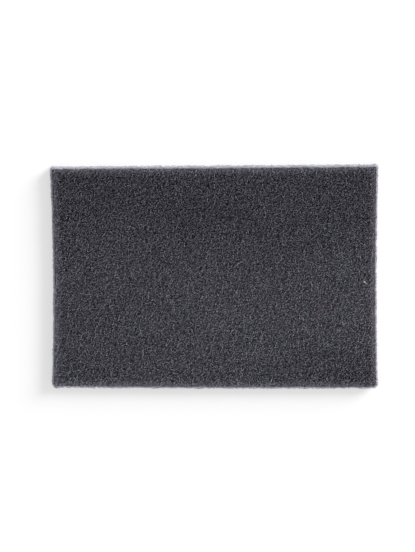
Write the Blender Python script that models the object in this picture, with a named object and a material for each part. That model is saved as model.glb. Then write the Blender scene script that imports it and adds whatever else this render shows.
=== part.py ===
"""Abrasive hand pad: one sheet of crimped nylon web, bonded with resin, filled with fine grit and cut to a hand's size.

Run with: blender --background --python part.py

Metres, +Z up. The pad lies flat with its length along X. The origin is under its middle, on the face it lies on.
Left is -X, right is +X, front is -Y and back is +Y.
"""

import math

import bmesh
import bpy
from mathutils import Vector, noise

# The sheet. It is widest at its right end, and a little narrower at its left, because the web gives while it is cut.
LENGTH = 0.2240
WIDTH = 0.1583
TAPER = 0.0022
THICKNESS = 0.0064

# The web draws in between the corners of its short ends, and swells a little along its front. The knife pulled its
# back left corner outwards.
WAIST_LEFT = 0.0013
WAIST_RIGHT = 0.0009
FRONT_SWELL = 0.0003
CORNER_PULL = 0.0006
CORNER_PULL_POWER = 4

# Corner radii in plan
RADIUS_BACK_RIGHT = 0.0016
RADIUS_BACK_LEFT = 0.0018
RADIUS_FRONT_LEFT = 0.0026
RADIUS_FRONT_RIGHT = 0.0030

# The cut edge: both rims are crushed round by the knife, and the open web springs out between them.
RIM_RADIUS = 0.0012
WALL_BULGE = 0.0003
FRAY_DEPTH = 0.00025
FRAY_LENGTH = 0.0032

# How finely the outline and the edge are divided
OUTLINE_STEP = 0.0030
CORNER_STEPS = 5
RIM_STEPS = 4
WALL_STEPS = 4

# The coated web's colour and finish
WEB_COLOUR = (0.049, 0.048, 0.057, 1.0)
WEB_ROUGHNESS = 0.95
SHARP_ANGLE = math.radians(35)


def clear_scene():
    """Removes whatever the file opened with."""
    for old in list(bpy.data.objects):
        bpy.data.objects.remove(old, do_unlink=True)


def coated_web():
    """The material of fibres under a dark coat of resin and grit."""
    material = bpy.data.materials.new("coated_web")
    material.use_nodes = True
    shader = material.node_tree.nodes["Principled BSDF"]
    shader.inputs["Base Color"].default_value = WEB_COLOUR
    shader.inputs["Roughness"].default_value = WEB_ROUGHNESS
    shader.inputs["Metallic"].default_value = 0.0
    material.diffuse_color = WEB_COLOUR
    return material


def rounded_rectangle(inset):
    """(point, outward direction) round the plain cut line, moved in by inset: back right corner first, anticlockwise."""
    half_length = LENGTH / 2 - inset
    half_width = WIDTH / 2 - inset
    corners = (
        (1, 1, RADIUS_BACK_RIGHT, LENGTH),
        (-1, 1, RADIUS_BACK_LEFT, WIDTH),
        (-1, -1, RADIUS_FRONT_LEFT, LENGTH),
        (1, -1, RADIUS_FRONT_RIGHT, WIDTH),
    )
    arcs = []
    for quarter, (side_x, side_y, cut_radius, _) in enumerate(corners):
        radius = cut_radius * cut_radius / (cut_radius + inset)
        centre = Vector((side_x * (half_length - radius), side_y * (half_width - radius)))
        arc = []
        for step in range(CORNER_STEPS + 1):
            angle = (quarter + step / CORNER_STEPS) * math.pi / 2
            outward = Vector((math.cos(angle), math.sin(angle)))
            arc.append((centre + outward * radius, outward))
        arcs.append(arc)

    points = []
    for number, arc in enumerate(arcs):
        points += arc
        (start, outward), (end, _) = arc[-1], arcs[(number + 1) % 4][0]
        steps = max(2, round(corners[number][3] / OUTLINE_STEP))
        points += [(start.lerp(end, step / steps), outward) for step in range(1, steps)]
    return points


def as_the_web_lies(point):
    """A point of the plain rectangle, moved to where the cut web draws it: tapered, waisted, swollen and pulled."""
    along = 2 * point.x / LENGTH
    across = 2 * point.y / WIDTH
    waist = WAIST_LEFT if along < 0 else WAIST_RIGHT
    width = WIDTH - TAPER * (1 - along) / 2
    swell = FRONT_SWELL * (1 - along * along) if across < 0 else 0.0
    pull = CORNER_PULL * max(-along, 0.0) * ((1 + across) / 2) ** CORNER_PULL_POWER
    return Vector(
        (
            point.x - along * waist * (1 - across * across) - pull,
            across * (width / 2 + swell),
        )
    )


def edge_section():
    """(inset, height, bulge) up the cut edge, from the lower face to the upper one."""
    rim = min(RIM_RADIUS, 0.4 * THICKNESS)
    wall = THICKNESS - 2 * rim
    lower = []
    for step in range(RIM_STEPS + 1):
        angle = step / RIM_STEPS * math.pi / 2
        lower.append((rim * (1 - math.sin(angle)), rim * (1 - math.cos(angle)), 0.0))
    middle = []
    for step in range(1, WALL_STEPS):
        share = step / WALL_STEPS
        middle.append((0.0, rim + wall * share, WALL_BULGE * math.sin(math.pi * share)))
    upper = [(inset, THICKNESS - height, bulge) for inset, height, bulge in reversed(lower)]
    return lower + middle + upper


def edge_ring(inset, height, bulge):
    """The points of one ring round the pad, frayed in and out as an open web is where it is cut."""
    ring = []
    for plain, outward in rounded_rectangle(inset):
        laid = as_the_web_lies(plain)
        place = Vector((laid.x, laid.y, height)) / FRAY_LENGTH
        laid += outward * (bulge + FRAY_DEPTH * noise.noise(place))
        ring.append(Vector((laid.x, laid.y, height)))
    return ring


def on_the_origin(rings):
    """Every point moved so that the middle of the pad's box stands over the origin."""
    across = [point.x for ring in rings for point in ring]
    deep = [point.y for ring in rings for point in ring]
    middle = Vector(((min(across) + max(across)) / 2, (min(deep) + max(deep)) / 2, 0.0))
    return [[point - middle for point in ring] for ring in rings]


def pad_mesh():
    """The closed skin of the pad: rings up its edge, and a flat face across each end of them."""
    rings = on_the_origin([edge_ring(*level) for level in edge_section()])
    shape = bmesh.new()
    loops = [[shape.verts.new(point) for point in ring] for ring in rings]
    for below, above in zip(loops, loops[1:]):
        for here in range(len(below)):
            there = (here + 1) % len(below)
            shape.faces.new((below[here], below[there], above[there], above[here]))
    shape.faces.new(reversed(loops[0]))
    shape.faces.new(loops[-1])
    mesh = bpy.data.meshes.new("abrasive_pad")
    shape.to_mesh(mesh)
    shape.free()
    mesh.shade_smooth()
    mesh.set_sharp_from_angle(angle=SHARP_ANGLE)
    return mesh


def build():
    """Puts the finished pad in the scene."""
    clear_scene()
    pad = bpy.data.objects.new("abrasive_pad", pad_mesh())
    pad.data.materials.append(coated_web())
    bpy.context.scene.collection.objects.link(pad)


build()
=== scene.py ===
"""Looks of the abrasive hand pad: its coated fibre web, a plain floor, soft light and the camera."""

import math

import bmesh
import bpy
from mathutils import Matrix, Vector


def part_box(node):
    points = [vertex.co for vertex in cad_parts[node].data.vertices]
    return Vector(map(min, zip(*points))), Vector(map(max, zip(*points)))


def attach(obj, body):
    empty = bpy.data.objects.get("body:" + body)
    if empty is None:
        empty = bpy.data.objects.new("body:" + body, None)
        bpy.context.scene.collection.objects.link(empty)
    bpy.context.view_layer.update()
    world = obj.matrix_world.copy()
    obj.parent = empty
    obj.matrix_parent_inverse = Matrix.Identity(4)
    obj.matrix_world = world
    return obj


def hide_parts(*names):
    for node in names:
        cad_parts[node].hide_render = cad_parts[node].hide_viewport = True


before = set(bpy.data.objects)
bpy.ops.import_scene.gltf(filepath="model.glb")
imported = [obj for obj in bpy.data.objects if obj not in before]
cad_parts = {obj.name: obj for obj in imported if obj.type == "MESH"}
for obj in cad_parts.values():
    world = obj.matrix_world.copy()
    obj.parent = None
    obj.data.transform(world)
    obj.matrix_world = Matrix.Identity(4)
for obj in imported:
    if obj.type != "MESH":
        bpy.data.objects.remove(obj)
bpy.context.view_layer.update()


# The cut sheet
# Pads are stamped from a long roll of web, so every layer of one ends at the same cut line.
# The line is read off the solid at its mid height, and each piece below grows or ends at it.

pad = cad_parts["abrasive_pad"]
LOW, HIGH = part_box("abrasive_pad")
MIDDLE_HEIGHT = (LOW.z + HIGH.z) / 2
WELD = 1e-5
LAY = math.radians(43)  # the way that most fibres run, from the length towards the back
FRINGE = 0.0002  # how far past the cut line the fibres are left
RIM = 0.0006  # how far in from the cut line a face starts to round off


def put(name, data):
    """A new object of that name in the scene, at the origin."""
    made = bpy.data.objects.new(name, data)
    bpy.context.scene.collection.objects.link(made)
    return made


def welded_skin():
    """The solid's skin, with its loose triangles joined up."""
    skin = bmesh.new()
    skin.from_mesh(pad.data)
    bmesh.ops.remove_doubles(skin, verts=skin.verts, dist=WELD)
    return skin


def cut_line():
    """The points round the pad at mid height, anticlockwise."""
    skin = welded_skin()
    points = [v.co.xy for v in skin.verts if abs(v.co.z - MIDDLE_HEIGHT) < WELD]
    points = sorted((Vector(p) for p in points), key=lambda p: math.atan2(p.y, p.x))
    skin.free()
    return points


def moved_out(line, distance):
    """The cut line with each point moved outwards, or inwards where distance is negative."""
    moved = []
    for number, point in enumerate(line):
        run = (line[(number + 1) % len(line)] - line[number - 1]).normalized()
        moved.append(point + Vector((run.y, -run.x)) * distance)
    return moved


def flat_sheet(line, height, facing_up=True):
    """A mesh of one flat face inside the line."""
    mesh = bpy.data.meshes.new("flat_sheet")
    ring = line if facing_up else line[::-1]
    mesh.from_pydata([(p.x, p.y, height) for p in ring], [], [tuple(range(len(ring)))])
    return mesh


def upright_wall(line, bottom, top):
    """A mesh of the band that stands on the line, facing outwards."""
    count = len(line)
    mesh = bpy.data.meshes.new("upright_wall")
    points = [(p.x, p.y, z) for z in (bottom, top) for p in line]
    faces = [(n, (n + 1) % count, count + (n + 1) % count, count + n) for n in range(count)]
    mesh.from_pydata(points, [], faces)
    return mesh


CUT = cut_line()
sheet_guide = put("sheet_guide", flat_sheet(CUT, MIDDLE_HEIGHT))
fringe_guide = put("fringe_guide", flat_sheet(moved_out(CUT, FRINGE), MIDDLE_HEIGHT))


# The body of the web
# Crimped nylon fibres, laid down dry in a thick tangle and bonded where they cross.
# Resin and grit are sprayed on from both sides, so the faces are dark and the middle of the cut stays pale.

CORE_VOXEL = 0.0012
CORE_INSET = 0.00070
SOLE_INSET = 0.00040  # less than elsewhere, so that no light shows under the cut wall
SOLE_FACING = (-0.9, -0.3)  # how far down the skin faces, from where it is the sole to where it is the wall
CORE_RELIEF = 0.00030
STRAND_LENGTH = 0.0040
STRAND_WIDTH = 0.0016
MAP_MARGIN = 0.02

# The shades of the coat from a pore to a crest, and of the bare nylon under it.
# Both are darker off the crests, and the coat near black in a pore: painted shade of the tangle's depth.
WEB_COAT = (
    (0.12, (0.002, 0.0019, 0.0024, 1.0)),
    (0.95, (0.163, 0.160, 0.183, 1.0)),
)
WEB_BARE = (
    (0.0, (0.26, 0.255, 0.285, 1.0)),
    (0.8, (0.50, 0.49, 0.54, 1.0)),
)
WEB_ROUGHNESS = 0.9
WEB_SPECULAR = 0.15
WEB_BUMP = 0.00035

# How deep the coat reaches from the faces, and how it thins towards the cut
COAT_DEPTH = 0.00035
COAT_FADE = 1.8
COAT_RAGGED = 0.0007
RAGGED_GRAIN = 900.0
EDGE_REACH = 0.0055
EDGE_TONE = 0.62
WALL_NEARNESS = (0.66, 0.87)

# The resin's hue: cooler and warmer patches, and browned along the right-hand end, between two places along X
RESIN_TINTS = (
    (0.40, (0.80, 0.94, 1.0, 1.0)),
    (0.60, (1.0, 0.865, 0.89, 1.0)),
)
BROWNED_RESIN = (0.99, 0.93, 0.90, 1.0)
WHITE = (1.0, 1.0, 1.0, 1.0)
TINT_GRAIN = 1100.0
BROWNED_FROM = (0.100, 0.112)

# The tone's drift: random clouds, and painted shade darker at the left, the back and the front right corner.
# The left's is a slope along X, and the other two come in from one place to another along X or Y.
CLOUD_GRAIN = 13.0
CLOUD_DEPTH = 0.10
LEFT_PAINTED_SHADE = 0.18
BACK_FROM = (0.055, -0.005)
BACK_PAINTED_SHADE = (-0.020, 0.096)
CORNER_ALONG = (0.000, 0.100)
CORNER_ACROSS = (-0.035, -0.070)
CORNER_PAINTED_SHADE = 0.090

# The grit's blotches and the painted shade of the hollows between them, by how many there are to the metre
MOTTLE = 1350.0
MOTTLE_STRETCH = 1.4
MOTTLE_STEP = (0.45, 0.55)

# The crests of the body's fibres: their curl, and each set's turn from the lay, length, width and seed
CURL = 0.0016
CURL_GRAIN = 420.0
CREST_WIDTH = 0.09
CREST_SETS = (
    (0.0, 0.0036, 0.00065, 3.0),
    (math.radians(52), 0.0028, 0.00060, 11.0),
    (math.radians(-40), 0.0030, 0.00070, 19.0),
)
SIDE_CRESTS = 0.8

# The body's tone: what a pore and a place off the crests have of it, and how much more the others have.
# Pores and places off the crests are the darker, as painted shade of the tangle's depth.
PORE_TONE = 0.2
PORE_DEPTH = 0.8
CREST_TONE = 0.48
CREST_DEPTH = 0.30


def node(tree, kind, *values, **settings):
    """A new node with each value, a socket or a constant, on its inputs in turn. None leaves one alone."""
    made = tree.nodes.new(kind)
    for name, setting in settings.items():
        setattr(made, name, setting)
    inputs = [socket for socket in made.inputs if socket.enabled]
    for socket, value in zip(inputs, values):
        if isinstance(value, bpy.types.NodeSocket):
            tree.links.new(value, socket)
        elif value is not None:
            socket.default_value = value
    return next(socket for socket in made.outputs if socket.enabled)


def output(socket, name):
    """Another output of the node that a socket belongs to."""
    return next(s for s in socket.node.outputs if s.enabled and s.name == name)


def sums(tree, operation, *values):
    """A Math node."""
    return node(tree, "ShaderNodeMath", *values, operation=operation)


def vectors(tree, operation, *values):
    """A Vector Math node."""
    return node(tree, "ShaderNodeVectorMath", *values, operation=operation)


def scaled(tree, vector, factor):
    """A vector times a number."""
    made = vectors(tree, "SCALE", vector, None)
    tree.links.new(factor, made.node.inputs["Scale"])
    return made


def noise(tree, place, grain, *how):
    """Smooth noise over a place. how is its detail, and then its roughness and lacunarity, where given."""
    return node(tree, "ShaderNodeTexNoise", place, grain, *how, noise_dimensions="3D")


def eased(tree, value, limits, low, high):
    """A smooth step from low to high, while a value goes from the first limit to the second."""
    return node(tree, "ShaderNodeMapRange", value, *limits, low, high, interpolation_type="SMOOTHSTEP")


def new_tree(name, inputs):
    """A Geometry Nodes tree with named inputs, and its group's input sockets by name."""
    tree = bpy.data.node_groups.new(name, "GeometryNodeTree")
    tree.interface.new_socket(name="Guide", in_out="INPUT", socket_type="NodeSocketGeometry")
    for title, kind in inputs.items():
        tree.interface.new_socket(name=title, in_out="INPUT", socket_type="NodeSocket" + kind)
    tree.interface.new_socket(name="Result", in_out="OUTPUT", socket_type="NodeSocketGeometry")
    entry = tree.nodes.new("NodeGroupInput")
    return tree, {socket.name: socket for socket in entry.outputs if socket.name}


def close_tree(tree, geometry, material):
    """Ends a tree: the copies are made real and take their material."""
    real = node(tree, "GeometryNodeRealizeInstances", geometry)
    dressed = node(tree, "GeometryNodeSetMaterial", real, None, material)
    tree.links.new(dressed, tree.nodes.new("NodeGroupOutput").inputs[0])


def across_pad(tree, part, low, high):
    """A coordinate as a share of the pad's size, just over 0 at one side and just under 1 at the other."""
    return node(tree, "ShaderNodeMapRange", part, low, high, MAP_MARGIN, 1.0 - MAP_MARGIN)


def charted(tree, geometry, upright):
    """Geometry with a flat map of the pad: the face in plan, or the four walls as bands over each other."""
    parts = node(tree, "ShaderNodeSeparateXYZ", node(tree, "GeometryNodeInputPosition"))
    plan_x = across_pad(tree, output(parts, "X"), LOW.x, HIGH.x)
    plan_y = across_pad(tree, output(parts, "Y"), LOW.y, HIGH.y)
    level = across_pad(tree, output(parts, "Z"), LOW.z, HIGH.z)

    side_x = sums(tree, "DIVIDE", output(parts, "X"), HIGH.x)
    side_y = sums(tree, "DIVIDE", output(parts, "Y"), HIGH.y)
    at_end = sums(tree, "GREATER_THAN", sums(tree, "ABSOLUTE", side_x), sums(tree, "ABSOLUTE", side_y))
    positive = sums(tree, "GREATER_THAN", sums(tree, "ADD", side_x, side_y), 0.0)
    band = sums(tree, "ADD", sums(tree, "MULTIPLY", at_end, 2.0), positive)
    band = node(tree, "GeometryNodeFieldOnDomain", band, domain="FACE", data_type="FLOAT")
    at_end = sums(tree, "GREATER_THAN", band, 1.5)
    along = node(tree, "ShaderNodeMix", at_end, plan_x, plan_y, data_type="FLOAT")
    height = sums(tree, "DIVIDE", sums(tree, "ADD", band, level), 4.0)
    u = node(tree, "ShaderNodeMix", upright, plan_x, along, data_type="FLOAT")
    v = node(tree, "ShaderNodeMix", upright, plan_y, height, data_type="FLOAT")
    return node(tree, "GeometryNodeStoreNamedAttribute", geometry, None, "OFBake",
                node(tree, "ShaderNodeCombineXYZ", u, v, 0.0), data_type="FLOAT2", domain="CORNER")


def grown(name, mesh, tree, **values):
    """The plain mesh that a tree makes of a guide mesh, as a finished object."""
    guide = put(name + "_guide", mesh)
    nodes = guide.modifiers.new(tree.name, "NODES")
    nodes.node_group = tree
    for socket in tree.interface.items_tree:
        if socket.item_type == "SOCKET" and socket.in_out == "INPUT" and socket.name in values:
            nodes[socket.identifier] = values[socket.name]
    result = bpy.data.meshes.new_from_object(guide.evaluated_get(bpy.context.evaluated_depsgraph_get()))
    result.name = name
    guide.modifiers.remove(nodes)
    bpy.data.objects.remove(guide)
    return put(name, result)


def in_from_edge(tree, place, sheet):
    """How far a place lies from the cut line, seen in plan."""
    level = vectors(tree, "MULTIPLY_ADD", place, (1.0, 1.0, 0.0), (0.0, 0.0, MIDDLE_HEIGHT))
    return output(node(tree, "GeometryNodeProximity", sheet, None, level, target_element="EDGES"), "Distance")


def rim_fall(tree, away, rim):
    """How far a face has rounded off, that far in from the cut line."""
    short = sums(tree, "MAXIMUM", sums(tree, "SUBTRACT", 1.0, sums(tree, "DIVIDE", away, rim)), 0.0)
    return sums(tree, "MULTIPLY", sums(tree, "MULTIPLY", short, short), rim)


def edge_nearness(tree, place, sheet):
    """1 at the cut line, falling to 0 where the edge no longer thins the coat."""
    away = in_from_edge(tree, place, sheet)
    return node(tree, "ShaderNodeMapRange", away, 0.0, EDGE_REACH, 1.0, 0.0)


def guide_shape(tree, guide):
    """The mesh of a guide object, inside a tree."""
    info = node(tree, "GeometryNodeObjectInfo", guide)
    return output(info, "Geometry")


def web_relief():
    """The tree that draws the solid in a little, and gives its skin the swells and hollows of laid fibres."""
    tree, given = new_tree("web_relief", {
        "Inset": "Float", "Sole Inset": "Float", "Relief": "Float",
        "Strand Length": "Float", "Strand Width": "Float",
        "Lay": "Float", "Sheet": "Object", "Material": "Material",
    })
    place = node(tree, "GeometryNodeInputPosition")
    outward = node(tree, "GeometryNodeInputNormal")
    turned = node(tree, "ShaderNodeVectorRotate", place, None, sums(tree, "MULTIPLY", given["Lay"], -1.0),
                  rotation_type="Z_AXIS")
    strand = node(tree, "ShaderNodeCombineXYZ",
                  sums(tree, "DIVIDE", 1.0, given["Strand Length"]),
                  sums(tree, "DIVIDE", 1.0, given["Strand Width"]),
                  sums(tree, "DIVIDE", 1.0, given["Strand Width"]))
    swell = noise(tree, vectors(tree, "MULTIPLY", turned, strand), 1.0, 1.0, 0.5)
    height = sums(tree, "MULTIPLY", sums(tree, "SUBTRACT", swell, 0.5), 2.0)
    height = sums(tree, "MULTIPLY", height, given["Relief"])
    upward = output(node(tree, "ShaderNodeSeparateXYZ", outward), "Z")
    off_sole = node(tree, "ShaderNodeMapRange", upward, *SOLE_FACING, 0.0, 1.0)
    inset = node(tree, "ShaderNodeMix", off_sole, given["Sole Inset"], given["Inset"], data_type="FLOAT")
    push = scaled(tree, outward, sums(tree, "SUBTRACT", height, inset))
    shaped = node(tree, "GeometryNodeSetPosition", given["Guide"], None, None, push)
    marked = node(tree, "GeometryNodeStoreNamedAttribute", shaped, None, "edge",
                  edge_nearness(tree, place, guide_shape(tree, given["Sheet"])),
                  data_type="FLOAT", domain="POINT")
    smooth = node(tree, "GeometryNodeSetShadeSmooth", marked)
    close_tree(tree, smooth, given["Material"])
    return tree


def ramp(tree, factor, *stops):
    """A colour ramp through (place, colour) stops."""
    made = node(tree, "ShaderNodeValToRGB", factor)
    elements = made.node.color_ramp.elements
    while len(elements) < len(stops):
        elements.new(0.5)
    for element, (place, colour) in zip(elements, stops):
        element.position, element.color = place, colour
    return made


def mixed(tree, factor, one, other, blend="MIX"):
    """A Mix Color node."""
    return node(tree, "ShaderNodeMix", factor, one, other, data_type="RGBA", blend_type=blend)


def fibre_pattern(tree, place, turn, length, width, seed):
    """Thin bright curling lines, mostly along one direction, as the crests of fibres, from 0 to 1."""
    curl = noise(tree, vectors(tree, "ADD", place, (seed, 0.0, 0.0)), CURL_GRAIN, 1.0, 0.5)
    curl = vectors(tree, "SUBTRACT", output(curl, "Color"), (0.5, 0.5, 0.5))
    curled = vectors(tree, "MULTIPLY_ADD", curl, (CURL, CURL, CURL), place)
    turned = node(tree, "ShaderNodeVectorRotate", curled, None, -turn, rotation_type="Z_AXIS")
    stretched = vectors(tree, "MULTIPLY_ADD", turned, (1 / length, 1 / width, 1 / width),
                        (seed, seed * 0.7, seed * 1.3))
    away = sums(tree, "ABSOLUTE", sums(tree, "SUBTRACT", noise(tree, stretched, 1.0, 0.0, 0.5), 0.5))
    return eased(tree, away, (0.0, CREST_WIDTH), 1.0, 0.0)


def coat_share(tree, place, edge, sunk=0.0):
    """1 where resin and grit reached, and 0 in the pale middle of the cut, with a ragged border between them.

    sunk is how far the surface lies inside the pad's own.
    """
    height = output(node(tree, "ShaderNodeSeparateXYZ", place), "Z")
    away = sums(tree, "MULTIPLY", sums(tree, "SUBTRACT", 1.0, edge), EDGE_REACH)
    under = sums(tree, "SUBTRACT", HIGH.z, height)
    depth = sums(tree, "MINIMUM", sums(tree, "SUBTRACT", height, LOW.z), under)
    depth = sums(tree, "SUBTRACT", sums(tree, "SUBTRACT", depth, sunk), rim_fall(tree, away, RIM))
    ragged = noise(tree, place, RAGGED_GRAIN, 2.0, 0.6)
    depth = sums(tree, "ADD", depth, sums(tree, "MULTIPLY", sums(tree, "SUBTRACT", ragged, 0.5), COAT_RAGGED))
    depth = sums(tree, "MULTIPLY", depth, node(tree, "ShaderNodeMapRange", edge, *WALL_NEARNESS, 0.0, 1.0))
    return eased(tree, depth, (COAT_DEPTH, COAT_DEPTH * COAT_FADE), 1.0, 0.0)


def clouds_and_painted_shade(tree, place):
    """Random clouds of tone, and painted shade: darker at the back, the left and the front right corner."""
    clouds = noise(tree, place, CLOUD_GRAIN, 0.0)
    parts = node(tree, "ShaderNodeSeparateXYZ", place)
    painted_shade_slope = eased(tree, output(parts, "Y"), BACK_FROM, *BACK_PAINTED_SHADE)
    painted_shade_slope = sums(tree, "ADD", painted_shade_slope, sums(tree, "MULTIPLY", output(parts, "X"), LEFT_PAINTED_SHADE))
    right = eased(tree, output(parts, "X"), CORNER_ALONG, 0.0, 1.0)
    front = eased(tree, output(parts, "Y"), CORNER_ACROSS, 0.0, 1.0)
    painted_corner_shade = sums(tree, "MULTIPLY", sums(tree, "MULTIPLY", right, front), CORNER_PAINTED_SHADE)
    painted_shade_slope = sums(tree, "SUBTRACT", painted_shade_slope, painted_corner_shade)
    clouded = sums(tree, "MULTIPLY", sums(tree, "SUBTRACT", clouds, 0.5), CLOUD_DEPTH)
    return sums(tree, "ADD", painted_shade_slope, clouded)


def grit_and_hollow_shade(tree, place):
    """The grit's blotches, drawn out along the lay: 0 is bare resin in a hollow, and 1 is a bright clump.

    The hollows' darkness is painted shade.
    """
    turned = node(tree, "ShaderNodeVectorRotate", place, None, -LAY, rotation_type="Z_AXIS")
    drawn = vectors(tree, "MULTIPLY", turned, (MOTTLE / MOTTLE_STRETCH, MOTTLE, MOTTLE))
    return node(tree, "ShaderNodeMapRange", noise(tree, drawn, 1.0, 1.0, 0.6), *MOTTLE_STEP, 0.0, 1.0)


def resin_tint(tree, place):
    """The resin's own hue, a little cooler here and warmer there, and warmer all along the right-hand end."""
    grain = ramp(tree, noise(tree, place, TINT_GRAIN, 1.0, 0.6), *RESIN_TINTS)
    along = output(node(tree, "ShaderNodeSeparateXYZ", place), "X")
    end = node(tree, "ShaderNodeMapRange", along, *BROWNED_FROM, 0.0, 1.0)
    browned = ramp(tree, end, (0.0, WHITE), (1.0, BROWNED_RESIN))
    return output(mixed(tree, 1.0, grain, browned, "MULTIPLY"), "Result")


def web_finish():
    """The tangle between the fibres that stand out: dark pores and lighter crests in several directions.

    The pores, and the places off the crests, are darkened as painted shade of the tangle's depth.
    """
    material = bpy.data.materials.new("coated_web")
    material.use_nodes = True
    tree = material.node_tree
    shader = tree.nodes["Principled BSDF"]
    place = output(node(tree, "ShaderNodeTexCoord"), "Object")
    along, left, right = (fibre_pattern(tree, place, LAY + turn, *rest) for turn, *rest in CREST_SETS)
    across = sums(tree, "MULTIPLY", sums(tree, "MAXIMUM", left, right), SIDE_CRESTS)
    crests = sums(tree, "MAXIMUM", along, across)
    grit_and_pore_shade = grit_and_hollow_shade(tree, place)
    # Painted shade: the pores and the places off the crests are darker, as the depth of the tangle would be.
    tone = sums(tree, "MULTIPLY",
                sums(tree, "ADD", sums(tree, "MULTIPLY", grit_and_pore_shade, PORE_DEPTH), PORE_TONE),
                sums(tree, "ADD", sums(tree, "MULTIPLY", crests, CREST_DEPTH), CREST_TONE))
    # Painted shade: the body darkens towards the back, the left and the front right corner, besides random
    # clouds.
    tone = sums(tree, "ADD", tone, clouds_and_painted_shade(tree, place))
    edge = output(node(tree, "ShaderNodeAttribute", attribute_name="edge"), "Fac")
    tone = sums(tree, "ADD", tone, sums(tree, "MULTIPLY", edge, EDGE_TONE))
    coated = ramp(tree, tone, *WEB_COAT)
    coated = output(mixed(tree, 1.0, coated, resin_tint(tree, place), "MULTIPLY"), "Result")
    bare = ramp(tree, crests, *WEB_BARE)
    colour = mixed(tree, coat_share(tree, place, edge, CORE_INSET), bare, coated)
    tree.links.new(output(colour, "Result"), shader.inputs["Base Color"])
    shader.inputs["Roughness"].default_value = WEB_ROUGHNESS
    shader.inputs["Specular IOR Level"].default_value = WEB_SPECULAR
    bump = node(tree, "ShaderNodeBump", 1.0, WEB_BUMP, None, sums(tree, "ADD", crests, grit_and_pore_shade))
    tree.links.new(bump, shader.inputs["Normal"])
    return material


def web_solid():
    """The solid's skin, divided finely and evenly enough to take the relief."""
    mesh = pad.data.copy()
    skin = welded_skin()
    skin.to_mesh(mesh)
    skin.free()
    solid = put("web_solid", mesh)
    remesh = solid.modifiers.new("remesh", "REMESH")
    remesh.mode = "VOXEL"
    remesh.voxel_size = CORE_VOXEL
    fine = bpy.data.meshes.new_from_object(solid.evaluated_get(bpy.context.evaluated_depsgraph_get()))
    bpy.data.objects.remove(solid)
    fine.materials.clear()
    return fine


web_core = grown("web_core", web_solid(), web_relief(), **{
    "Inset": CORE_INSET, "Sole Inset": SOLE_INSET, "Relief": CORE_RELIEF,
    "Strand Length": STRAND_LENGTH, "Strand Width": STRAND_WIDTH,
    "Lay": LAY, "Sheet": sheet_guide, "Material": web_finish(),
})
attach(web_core, "root")
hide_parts("abrasive_pad")


# The fibres of the two faces
# Coarse crimped nylon, about a quarter of a millimetre thick with its coat, bonded where two fibres cross.
# Most run along the roll's lay, and all end at the cut line.

FIBRE_LENGTH = 0.0064
FIBRE_LENGTHS = (0.6, 1.4)  # the shortest and the longest, as shares of that
FIBRE_THICKNESS = 0.00023
FIBRE_SIDES = 3
FIBRE_POINTS = 10
FIBRE_SPREAD = math.radians(65)
FIBRE_TILT = 0.05
FIBRE_LIFT = 0.00022
CRIMP_PITCH = 0.0036
CRIMP_DEPTH = 0.0042
CRIMP_FLATNESS = 0.75  # how much of the crimp is pressed out of it, upwards and downwards
CRIMP_ROOM = 900.0  # how far apart two fibres' crimps may lie in the noise, so that no two are alike
LOOSE_ENDS = 0.004  # how far the longest ends stand out of the cut, as a share of the pad's half size
LUMP_GRAIN = 1500.0
LUMP_STEP = (0.35, 0.75)
LUMP_GIRTH = (0.75, 1.5)

# How many there are, how closely they are packed, where they are laid, and between which heights they stay
PACKING = 0.62
CROWDING = 8.0
FACE_PIECES = 3
FACE_FIBRES = 3400
BACK_FIBRES = 2500
FACE_SEED = 100
BACK_SEED = 300
WALL_SEED = 500
GRIT_SEED = 700
SEED_STEP = 20
LAID_PAST_CUT = 0.0010
LAYER_DEPTH = 0.00020
BACK_HEIGHT = 0.00035
CLEAR_UNDER = 0.00020
CLEAR_OVER = 0.00015

FIBRE_COAT = (
    (0.0, (0.002, 0.0019, 0.0022, 1.0)),
    (0.5, (0.0375, 0.0366, 0.0433, 1.0)),
    (1.0, (0.380, 0.371, 0.433, 1.0)),
)
FIBRE_BARE = (
    (0.0, (0.40, 0.39, 0.435, 1.0)),
    (1.0, (0.57, 0.56, 0.615, 1.0)),
)
FIBRE_ROUGHNESS = 0.62
FIBRE_SPECULAR = 0.20
OWN_SHADE = 0.06
MOTTLE_DEPTH = 0.69
LEAST_TONE = 0.134


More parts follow.
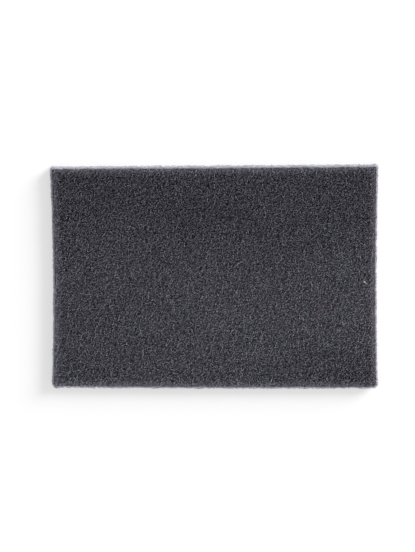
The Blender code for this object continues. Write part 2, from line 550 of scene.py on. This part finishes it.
def crimped_fibres():
    """The tree that scatters fibres over a guide: crimped tubes with lumps of resin, cut at the limit."""
    tree, given = new_tree("crimped_fibres", {
        "Spacing": "Float", "Seed": "Int", "Length": "Float", "Thickness": "Float", "Points": "Int",
        "Across": "Vector", "Lay": "Float", "Lay Spread": "Float", "Tilt": "Float", "Lift": "Float",
        "Crimp Pitch": "Float", "Crimp Depth": "Float", "Flatness": "Float",
        "Lowest": "Float", "Highest": "Float", "Rim": "Float", "Loose Ends": "Float", "Upright": "Float",
        "Sheet": "Object", "Limit": "Object", "Material": "Material",
    })
    seed = given["Seed"]

    def chance(low, high, step):
        """A random number for each fibre."""
        return node(tree, "FunctionNodeRandomValue", low, high, None, sums(tree, "ADD", seed, float(step)),
                    data_type="FLOAT")

    def kept(geometry, name, value, kind="FLOAT"):
        """Geometry that carries a named value."""
        return node(tree, "GeometryNodeStoreNamedAttribute", geometry, None, name, value,
                    data_type=kind, domain="POINT")

    def recalled(name, kind="FLOAT"):
        """A value that geometry carries."""
        return node(tree, "GeometryNodeInputNamedAttribute", name, data_type=kind)

    crowd = sums(tree, "DIVIDE", CROWDING, sums(tree, "MULTIPLY", given["Spacing"], given["Spacing"]))
    points = node(tree, "GeometryNodeDistributePointsOnFaces",
                  given["Guide"], None, given["Spacing"], crowd, 1.0, seed, distribute_method="POISSON")
    outward = output(points, "Normal")
    place = node(tree, "GeometryNodeInputPosition")
    points = kept(points, "tone", chance(0.0, 1.0, 1))
    points = kept(points, "own", chance(0.0, CRIMP_ROOM, 2))
    points = kept(points, "outward", outward, "FLOAT_VECTOR")
    points = kept(points, "edge", edge_nearness(tree, place, guide_shape(tree, given["Sheet"])))

    level = vectors(tree, "NORMALIZE", vectors(tree, "CROSS_PRODUCT", given["Across"], outward))
    swing = sums(tree, "SUBTRACT", sums(tree, "ADD", chance(0.0, 1.0, 3), chance(0.0, 1.0, 4)), 1.0)
    turn = sums(tree, "ADD", given["Lay"], sums(tree, "MULTIPLY", swing, given["Lay Spread"]))
    along = node(tree, "ShaderNodeVectorRotate", level, None, outward, turn, rotation_type="AXIS_ANGLE")
    rise = scaled(tree, outward, sums(tree, "MULTIPLY", chance(-1.0, 1.0, 5), given["Tilt"]))
    along = vectors(tree, "NORMALIZE", vectors(tree, "ADD", along, rise))
    aim = node(tree, "FunctionNodeAlignRotationToVector", None, 1.0, along, axis="X")

    raised = scaled(tree, outward, sums(tree, "MULTIPLY", chance(-1.0, 1.0, 6), given["Lift"]))
    points = node(tree, "GeometryNodeSetPosition", points, None, None, raised)

    line = node(tree, "GeometryNodeCurvePrimitiveLine", (-0.5, 0.0, 0.0), (0.5, 0.0, 0.0))
    line = node(tree, "GeometryNodeResampleCurve", line, None, given["Points"])
    size = sums(tree, "MULTIPLY", given["Length"], chance(*FIBRE_LENGTHS, 7))
    laid = node(tree, "GeometryNodeInstanceOnPoints", points, None, line, None, None, aim,
                node(tree, "ShaderNodeCombineXYZ", size, size, size))
    curves = node(tree, "GeometryNodeRealizeInstances", laid)

    own = recalled("own")
    facing = recalled("outward", "FLOAT_VECTOR")
    spot = scaled(tree, place, sums(tree, "DIVIDE", 1.0, given["Crimp Pitch"]))
    spot = vectors(tree, "ADD", spot, node(tree, "ShaderNodeCombineXYZ", own, own, own))
    bend = vectors(tree, "SUBTRACT", output(noise(tree, spot, 1.0, 1.0, 0.6, 2.6), "Color"), (0.5, 0.5, 0.5))
    sway = scaled(tree, bend, given["Crimp Depth"])
    swell = output(vectors(tree, "DOT_PRODUCT", sway, facing), "Value")
    flatter = scaled(tree, facing, sums(tree, "MULTIPLY", swell, given["Flatness"]))
    crimp = vectors(tree, "SUBTRACT", sway, flatter)
    curves = node(tree, "GeometryNodeSetPosition", curves, None, None, crimp)

    # A ray from high above tells whether a point, drawn in by its fibre's loose end, lies inside the limit.
    reach = sums(tree, "MULTIPLY", sums(tree, "POWER", recalled("tone"), 2.0), given["Loose Ends"])
    kept_in = sums(tree, "SUBTRACT", 1.0, reach)
    above = vectors(tree, "MULTIPLY_ADD", place, node(tree, "ShaderNodeCombineXYZ", kept_in, kept_in, 0.0),
                    (0.0, 0.0, 1.0))
    limit = guide_shape(tree, given["Limit"])
    ray = node(tree, "GeometryNodeRaycast", limit, None, above, (0.0, 0.0, -1.0), 2.0)
    outside = node(tree, "FunctionNodeBooleanMath", ray, operation="NOT")
    curves = node(tree, "GeometryNodeDeleteGeometry", curves, outside, domain="POINT")

    parts = node(tree, "ShaderNodeSeparateXYZ", place)
    fall = rim_fall(tree, in_from_edge(tree, place, guide_shape(tree, given["Sheet"])), given["Rim"])
    height = sums(tree, "MAXIMUM", output(parts, "Z"), sums(tree, "ADD", given["Lowest"], fall))
    height = sums(tree, "MINIMUM", height, sums(tree, "SUBTRACT", given["Highest"], fall))
    held = node(tree, "ShaderNodeCombineXYZ", output(parts, "X"), output(parts, "Y"), height)
    curves = node(tree, "GeometryNodeSetPosition", curves, None, held)

    lumps = noise(tree, place, LUMP_GRAIN, 0.0)
    girth = node(tree, "ShaderNodeMapRange", lumps, *LUMP_STEP, *LUMP_GIRTH)
    half = sums(tree, "MULTIPLY", given["Thickness"], 0.5)
    ring = node(tree, "GeometryNodeCurvePrimitiveCircle", FIBRE_SIDES, half)
    curves = node(tree, "GeometryNodeSetCurveNormal", curves, mode="Z_UP")
    tubes = node(tree, "GeometryNodeCurveToMesh", curves, ring, girth, True)
    smooth = node(tree, "GeometryNodeSetShadeSmooth", tubes)
    close_tree(tree, charted(tree, smooth, given["Upright"]), given["Material"])
    return tree


def fibre_finish():
    """One fibre's coat: its own shade of charcoal, mottled with grit, or pale nylon away from the faces.

    The mottle's darkest parts are also painted shade, as of a fibre dipping into the web.
    """
    material = bpy.data.materials.new("coated_fibre")
    material.use_nodes = True
    tree = material.node_tree
    shader = tree.nodes["Principled BSDF"]
    place = output(node(tree, "ShaderNodeTexCoord"), "Object")
    own = output(node(tree, "ShaderNodeAttribute", attribute_name="tone"), "Fac")
    edge = output(node(tree, "ShaderNodeAttribute", attribute_name="edge"), "Fac")
    # Grit blotches and painted shade: the mottle darkens a fibre where it would dip into the web.
    blotch_and_dip_shade = sums(tree, "ADD", sums(tree, "MULTIPLY", grit_and_hollow_shade(tree, place), MOTTLE_DEPTH), LEAST_TONE)
    tone = sums(tree, "ADD", sums(tree, "MULTIPLY", own, OWN_SHADE), blotch_and_dip_shade)
    # Painted shade: the fibres darken towards the back, the left and the front right corner, besides random
    # clouds.
    tone = sums(tree, "ADD", tone, clouds_and_painted_shade(tree, place))
    tone = sums(tree, "ADD", tone, sums(tree, "MULTIPLY", edge, EDGE_TONE))
    coated = ramp(tree, tone, *FIBRE_COAT)
    coated = output(mixed(tree, 1.0, coated, resin_tint(tree, place), "MULTIPLY"), "Result")
    bare = ramp(tree, own, *FIBRE_BARE)
    colour = mixed(tree, coat_share(tree, place, edge), bare, coated)
    tree.links.new(output(colour, "Result"), shader.inputs["Base Color"])
    shader.inputs["Roughness"].default_value = FIBRE_ROUGHNESS
    shader.inputs["Specular IOR Level"].default_value = FIBRE_SPECULAR
    return material


FIBRES = crimped_fibres()
FIBRE_FINISH = fibre_finish()


def area_of(mesh):
    """The area of a mesh's faces."""
    return sum(face.area for face in mesh.polygons)


def fibre_piece(name, guide, seed, count, **changes):
    """One piece with about that many fibres over a guide mesh."""
    values = {
        "Spacing": math.sqrt(PACKING * area_of(guide) / count), "Seed": seed, "Points": FIBRE_POINTS,
        "Length": FIBRE_LENGTH, "Thickness": FIBRE_THICKNESS, "Across": (0.0, 1.0, 0.0),
        "Lay": LAY, "Lay Spread": FIBRE_SPREAD, "Tilt": FIBRE_TILT, "Lift": FIBRE_LIFT,
        "Crimp Pitch": CRIMP_PITCH, "Crimp Depth": CRIMP_DEPTH, "Flatness": CRIMP_FLATNESS,
        "Lowest": LOW.z + CLEAR_UNDER, "Highest": HIGH.z + CLEAR_OVER, "Rim": RIM, "Loose Ends": LOOSE_ENDS,
        "Upright": 0.0, "Sheet": sheet_guide, "Limit": fringe_guide, "Material": FIBRE_FINISH,
    }
    values.update(changes)
    piece = grown(name, guide, FIBRES, **values)
    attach(piece, "root")
    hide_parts("abrasive_pad")


face_line = moved_out(CUT, LAID_PAST_CUT)
for number in range(FACE_PIECES):
    layer = flat_sheet(face_line, HIGH.z - LAYER_DEPTH * (FACE_PIECES - number))
    fibre_piece(f"upper_fibres_{number + 1}", layer, FACE_SEED + SEED_STEP * number, FACE_FIBRES)
sole = flat_sheet(face_line, LOW.z + BACK_HEIGHT, facing_up=False)
fibre_piece("lower_fibres_1", sole, BACK_SEED, BACK_FIBRES, Lay=-LAY)


# The fibres of the cut edge
# The knife leaves short ends and loops of bare nylon all round.
# They are shorter and thinner than those of the faces, and spring out of the wall a little way.

WALL_FIBRES = 3900
WALL_INSET = 0.00050
WALL_MARGIN = 0.0005
WALL_CLEAR = 0.00005

wall = upright_wall(moved_out(CUT, -WALL_INSET), LOW.z + WALL_MARGIN, HIGH.z - WALL_MARGIN)
fibre_piece("edge_fibres_1", wall, WALL_SEED, WALL_FIBRES, **{
    "Points": 7, "Length": 0.0040, "Thickness": 0.00021, "Across": (0.0, 0.0, 1.0),
    "Lay": 0.0, "Lay Spread": math.radians(38), "Tilt": 0.35, "Lift": 0.0003,
    "Crimp Pitch": 0.0024, "Crimp Depth": 0.0020, "Flatness": 0.3,
    "Highest": HIGH.z - WALL_CLEAR, "Upright": 1.0,
})

for guide in (sheet_guide, fringe_guide):
    bpy.data.objects.remove(guide)


# The grit
# Fine mineral grains, stuck on the fibres by the same resin.
# Most are charcoal, and a few larger ones are pale or a little pink.

GRAIN = 0.00017
STRAY_GRAIN = 0.00029
SMALLEST = (0.6, 0.6, 0.6)
LARGEST = (1.3, 1.3, 1.3)
ANY_TURN = (6.28, 6.28, 6.28)
GRIT_SPREAD = 0.00030
GRIT_RISE = (-1.0, 0.4)
GRIT_INSET = 0.0005
PALE_FROM = 0.94
GRIT_LAYERS = {  # height, whether it faces up, how many grains, their size and their least tone
    "upper_grit": (HIGH.z + 0.00002, True, 1500, GRAIN, 0.0),
    "upper_stray_grit": (HIGH.z + 0.00022, True, 170, STRAY_GRAIN, PALE_FROM),
    "lower_grit": (LOW.z + 0.00036, False, 500, GRAIN, 0.0),
}
GRIT_SHADES = (
    (0.0, (0.010, 0.010, 0.012, 1.0)),
    (0.70, (0.050, 0.049, 0.058, 1.0)),
    (0.93, (0.13, 0.127, 0.145, 1.0)),
    (PALE_FROM, (0.26, 0.17, 0.205, 1.0)),
    (1.0, (0.52, 0.45, 0.50, 1.0)),
)
STAIN_SHADES = (
    (0.3, (0.55, 0.55, 0.55, 1.0)),
    (0.7, WHITE),
)
STAIN_GRAIN = 5200.0
GRIT_ROUGHNESS = 0.45
GRIT_SPECULAR = 0.35


def bonded_grit():
    """The tree that scatters faceted grains over a guide, each of its own size, turn and shade."""
    tree, given = new_tree("bonded_grit", {
        "Density": "Float", "Seed": "Int", "Grain": "Float", "Spread": "Float", "Least Tone": "Float",
        "Material": "Material",
    })
    seed = given["Seed"]

    def chance(low, high, step, kind="FLOAT"):
        """A random value for each grain."""
        return node(tree, "FunctionNodeRandomValue", low, high, None, sums(tree, "ADD", seed, float(step)),
                    data_type=kind)

    points = node(tree, "GeometryNodeDistributePointsOnFaces", given["Guide"], None, given["Density"], seed,
                  distribute_method="RANDOM")
    outward = output(points, "Normal")
    tone = chance(given["Least Tone"], 1.0, 1)
    points = node(tree, "GeometryNodeStoreNamedAttribute", points, None, "tone", tone,
                  data_type="FLOAT", domain="POINT")
    raised = scaled(tree, outward, sums(tree, "MULTIPLY", chance(*GRIT_RISE, 2), given["Spread"]))
    points = node(tree, "GeometryNodeSetPosition", points, None, None, raised)
    turn = chance((0.0, 0.0, 0.0), ANY_TURN, 3, "FLOAT_VECTOR")
    size = chance(SMALLEST, LARGEST, 4, "FLOAT_VECTOR")
    stone = node(tree, "GeometryNodeMeshIcoSphere", given["Grain"], 1)
    laid = node(tree, "GeometryNodeInstanceOnPoints", points, None, stone, None, None, turn, size)
    real = node(tree, "GeometryNodeRealizeInstances", laid)
    close_tree(tree, charted(tree, real, 0.0), given["Material"])
    return tree


def grit_finish():
    """Resin-coated mineral: matt charcoal, and a few bare grains that are pale or a little pink."""
    material = bpy.data.materials.new("bonded_grit")
    material.use_nodes = True
    tree = material.node_tree
    shader = tree.nodes["Principled BSDF"]
    place = output(node(tree, "ShaderNodeTexCoord"), "Object")
    own = output(node(tree, "ShaderNodeAttribute", attribute_name="tone"), "Fac")
    shade = ramp(tree, own, *GRIT_SHADES)
    stain = ramp(tree, noise(tree, place, STAIN_GRAIN, 1.0, 0.6), *STAIN_SHADES)
    colour = mixed(tree, 1.0, shade, stain, "MULTIPLY")
    tree.links.new(output(colour, "Result"), shader.inputs["Base Color"])
    shader.inputs["Roughness"].default_value = GRIT_ROUGHNESS
    shader.inputs["Specular IOR Level"].default_value = GRIT_SPECULAR
    return material


GRIT = bonded_grit()
GRIT_FINISH = grit_finish()
grit_line = moved_out(CUT, -GRIT_INSET)
for number, (name, (height, facing_up, count, size, least)) in enumerate(GRIT_LAYERS.items()):
    guide = flat_sheet(grit_line, height, facing_up)
    grit = grown(name, guide, GRIT, **{
        "Density": count / area_of(guide), "Seed": GRIT_SEED + SEED_STEP * number, "Grain": size,
        "Spread": GRIT_SPREAD, "Least Tone": least, "Material": GRIT_FINISH,
    })
    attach(grit, "root")
    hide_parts("abrasive_pad")


# The lint fleck
# A wisp of undyed, yellowish fibre that was caught in the resin near the right end.
# It is a knot of thread with a tail and a stub.

LINT_AT = Vector((0.10322, -0.00290, HIGH.z + 0.00030))
LINT_SHADES = (
    (0.34, (0.26, 0.257, 0.227, 1.0)),
    (0.56, (0.76, 0.76, 0.672, 1.0)),
)
LINT_GRAIN = 2600.0
LINT_ROUGHNESS = 0.7

# The sizes of the thread and its knot, and the way of its two ends, in millimetres
MILLIMETRE = 0.001
THREAD = 0.125
KNOT_TURNS = 7
KNOT_STEPS = 44
KNOT_LONG = 0.42
KNOT_BROAD = 0.33
KNOT_HIGH = 0.20
LINT_TAIL = (
    (0.30, -0.10, 0.05), (0.66, -0.50, 0.12), (1.02, -0.80, 0.06), (1.40, -1.22, 0.00), (1.80, -1.42, -0.10),
)
LINT_STUB = ((-0.20, 0.05, 0.05), (-0.52, -0.20, 0.10), (-0.92, -0.50, -0.05))


def lint_strands():
    """The strands as (x, y, z, radius) points in millimetres: a thread wound on itself, and its two ends.

    The knot swings in X, Y and Z at rates that don't fit each other, so that no turn lies on another.
    """
    knot = []
    for step in range(KNOT_STEPS + 1):
        turn = 2 * math.pi * KNOT_TURNS * step / KNOT_STEPS
        knot.append((
            KNOT_LONG * math.sin(turn) * (0.65 + 0.35 * math.cos(0.37 * turn)),
            KNOT_BROAD * math.cos(1.31 * turn),
            KNOT_HIGH * math.sin(2.17 * turn),
            THREAD,
        ))
    strands = [knot]
    for path in (LINT_TAIL, LINT_STUB):
        thinned = [THREAD * (1 - 0.7 * number / len(path)) for number in range(len(path))]
        strands.append([(*point, radius) for point, radius in zip(path, thinned)])
    return strands


def lint_finish():
    """Undyed fibre: a dull yellowish white, stained here and there by the coat."""
    material = bpy.data.materials.new("lint")
    material.use_nodes = True
    tree = material.node_tree
    shader = tree.nodes["Principled BSDF"]
    place = output(node(tree, "ShaderNodeTexCoord"), "Object")
    colour = ramp(tree, noise(tree, place, LINT_GRAIN, 2.0, 0.6), *LINT_SHADES)
    tree.links.new(colour, shader.inputs["Base Color"])
    shader.inputs["Roughness"].default_value = LINT_ROUGHNESS
    return material


def threads(name, start, strands):
    """A closed mesh of round threads, each through (x, y, z, radius) points in millimetres from start."""
    path = bpy.data.curves.new(name, "CURVE")
    path.dimensions = "3D"
    path.bevel_depth = MILLIMETRE
    path.bevel_resolution = 2
    path.resolution_u = 4
    path.use_fill_caps = True
    for strand in strands:
        spline = path.splines.new("BEZIER")
        spline.bezier_points.add(len(strand) - 1)
        for point, (x, y, z, radius) in zip(spline.bezier_points, strand):
            point.co = start + Vector((x, y, z)) * MILLIMETRE
            point.radius = radius
            point.handle_left_type = point.handle_right_type = "AUTO"
    drawn = put(name, path)
    mesh = bpy.data.meshes.new_from_object(drawn.evaluated_get(bpy.context.evaluated_depsgraph_get()))
    bpy.data.objects.remove(drawn)
    return put(name, mesh)


lint = threads("lint_fleck", LINT_AT, lint_strands())
lint.data.materials.clear()
lint.data.materials.append(lint_finish())
lint.data.shade_smooth()
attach(lint, "root")
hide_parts("abrasive_pad")


# The stand: a plain white floor, a soft sun from the back right, and the camera
# Where the floor is seen, a glow makes up what its paint lacks to be white, so that it keeps the pad's shadow.
# The light that it throws back on the pad is that of white paint.

FLOOR_HALF = 40.0
FLOOR_PAINT = 0.85
FLOOR_SEEN = 0.50
FLOOR_WHITE = 1.02
SKY = 0.50
SUN_SHARE = 0.50
SUN_HEIGHT = math.radians(17.8)
SUN_SIDE = math.radians(37)
SUN_WIDTH = math.radians(30)


def as_seen(tree):
    """1 for what the camera sees, straight, mirrored or through glass, and 0 for light on other things."""
    light = node(tree, "ShaderNodeLightPath")
    mirrored = sums(tree, "MAXIMUM", output(light, "Is Glossy Ray"), output(light, "Is Transmission Ray"))
    return sums(tree, "MAXIMUM", output(light, "Is Camera Ray"), mirrored)


floor_mesh = bpy.data.meshes.new("floor")
corners = [(x * FLOOR_HALF, y * FLOOR_HALF, LOW.z) for x, y in ((-1, -1), (1, -1), (1, 1), (-1, 1))]
floor_mesh.from_pydata(corners, [], [(0, 1, 2, 3)])
floor = put("floor", floor_mesh)
paint = bpy.data.materials.new("floor_paint")
paint.use_nodes = True
tree = paint.node_tree
tree.nodes.remove(tree.nodes["Principled BSDF"])
seen = as_seen(tree)
shade = node(tree, "ShaderNodeMapRange", seen, 0.0, 1.0, FLOOR_PAINT, FLOOR_SEEN)
matt = node(tree, "ShaderNodeBsdfDiffuse", node(tree, "ShaderNodeCombineColor", shade, shade, shade))
glow = node(tree, "ShaderNodeEmission", WHITE, sums(tree, "MULTIPLY", seen, FLOOR_WHITE - FLOOR_SEEN))
lit = node(tree, "ShaderNodeAddShader", matt, glow)
tree.links.new(lit, tree.nodes["Material Output"].inputs["Surface"])
floor_mesh.materials.append(paint)

world = bpy.data.worlds.new("studio")
bpy.context.scene.world = world
world.use_nodes = True
tree = world.node_tree
tree.nodes.clear()
strength = node(tree, "ShaderNodeMapRange", as_seen(tree), 0.0, 1.0, SKY, 1.0)
sky = node(tree, "ShaderNodeBackground", WHITE, strength)
tree.links.new(sky, tree.nodes.new("ShaderNodeOutputWorld").inputs["Surface"])

lamp = bpy.data.lights.new("softbox", "SUN")
lamp.energy = SUN_SHARE * math.pi / math.sin(SUN_HEIGHT)
lamp.angle = SUN_WIDTH
softbox = put("softbox", lamp)
level = math.cos(SUN_HEIGHT)
towards = Vector((level * math.cos(SUN_SIDE), level * math.sin(SUN_SIDE), math.sin(SUN_HEIGHT)))
softbox.rotation_mode = "QUATERNION"
softbox.rotation_quaternion = towards.to_track_quat("Z", "Y")

CAMERA_LEAN = math.radians(15.7)
CAMERA_LENS = 700.0
CAMERA_SENSOR = 36.0
CAMERA_REACH = 7.383
CAMERA_TURN = math.radians(-0.13)
LOOK_AT = Vector((-0.0047, 0.0015, HIGH.z))

view = bpy.data.cameras.new("view")
view.lens = CAMERA_LENS
view.sensor_width = CAMERA_SENSOR
camera = put("camera", view)
camera.rotation_euler = (-CAMERA_LEAN, 0.0, CAMERA_TURN)
camera.location = LOOK_AT + camera.rotation_euler.to_matrix() @ Vector((0.0, 0.0, CAMERA_REACH))
bpy.context.scene.camera = camera

bpy.context.scene.view_settings.view_transform = "Standard"
